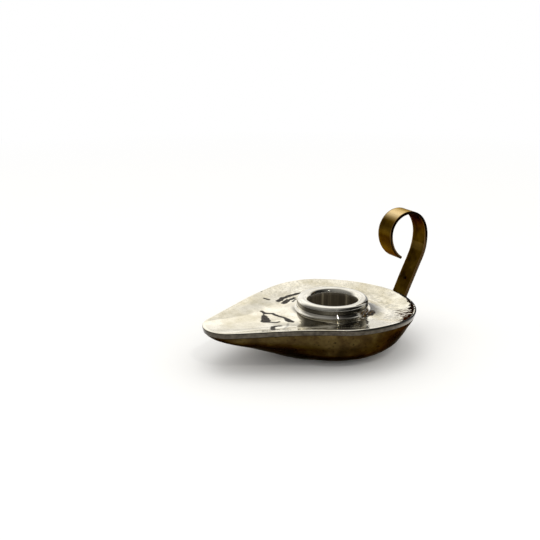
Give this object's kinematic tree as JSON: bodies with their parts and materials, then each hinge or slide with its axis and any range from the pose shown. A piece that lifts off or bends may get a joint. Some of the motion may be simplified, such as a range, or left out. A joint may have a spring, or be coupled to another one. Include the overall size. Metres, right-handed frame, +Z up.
{
  "type": "chamberstick with finger loop",
  "caption": "Low teardrop chamberstick: brass bowl under a hammered aluminium drip pan, with a ringed candle socket and a rolled brass strap handle for a finger.",
  "frame": {"origin": "on the table, under the middle of the candle", "axes": "+X from the candle to the finger loop, +Z up along the candle, the pointed end of the pan towards -X"},
  "size_m": [0.1158, 0.0752, 0.0608],
  "materials": {
    "bowl_brass": "aged raised sheet, darkened, dull polish",
    "pan_aluminium": "hammered and polished, slightly dulled",
    "socket_aluminium": "turned and polished, with fine turning marks",
    "screw_steel": "plain turned steel",
    "strap_brass": "aged rolled strip, polished on top by use"
  },
  "bodies": {
    "root": {"bowl_shell": "bowl_brass", "drip_pan": "pan_aluminium", "candle_socket": "socket_aluminium", "socket_screw": "screw_steel", "screw_washer": "screw_steel", "handle_strap": "strap_brass", "rivet_upper": "strap_brass", "rivet_lower": "strap_brass"}
  },
  "joints": []
}
